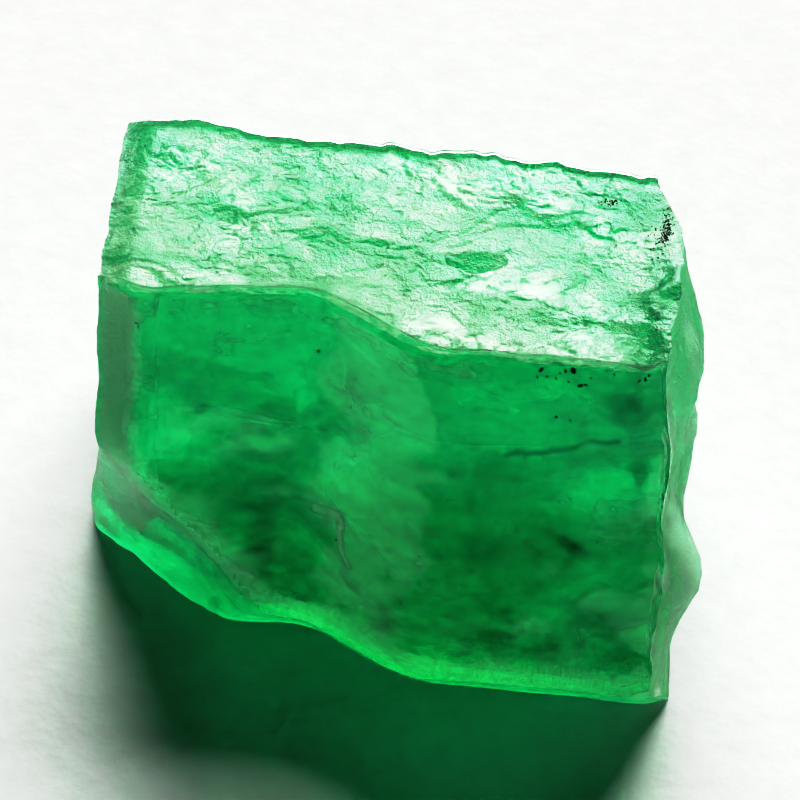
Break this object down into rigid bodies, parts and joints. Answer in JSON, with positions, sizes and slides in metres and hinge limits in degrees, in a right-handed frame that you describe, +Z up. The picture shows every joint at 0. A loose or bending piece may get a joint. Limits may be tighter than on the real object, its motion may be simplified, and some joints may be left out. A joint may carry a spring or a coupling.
{
  "type": "raw emerald crystal",
  "caption": "Raw, uncut emerald: a see-through green six-sided beryl prism lying on one prism face, with a flaky etched top face, broken ends and a chipped lower corner.",
  "frame": {"origin": "centre of the bounding box at the bottom, on the prism face that the crystal rests on", "axes": "+X along the crystal's c axis towards the end with the rounded bosses, -Y towards the smooth slanting front face, +Z up through the etched top face"},
  "size_m": [0.014, 0.0122, 0.0105],
  "materials": {
    "emerald": "vitreous and see-through green, smooth on the front face, frosted and flaky on top, with pale veils and dark specks sealed inside"
  },
  "bodies": {
    "root": {"emerald_crystal": "emerald"}
  },
  "joints": []
}
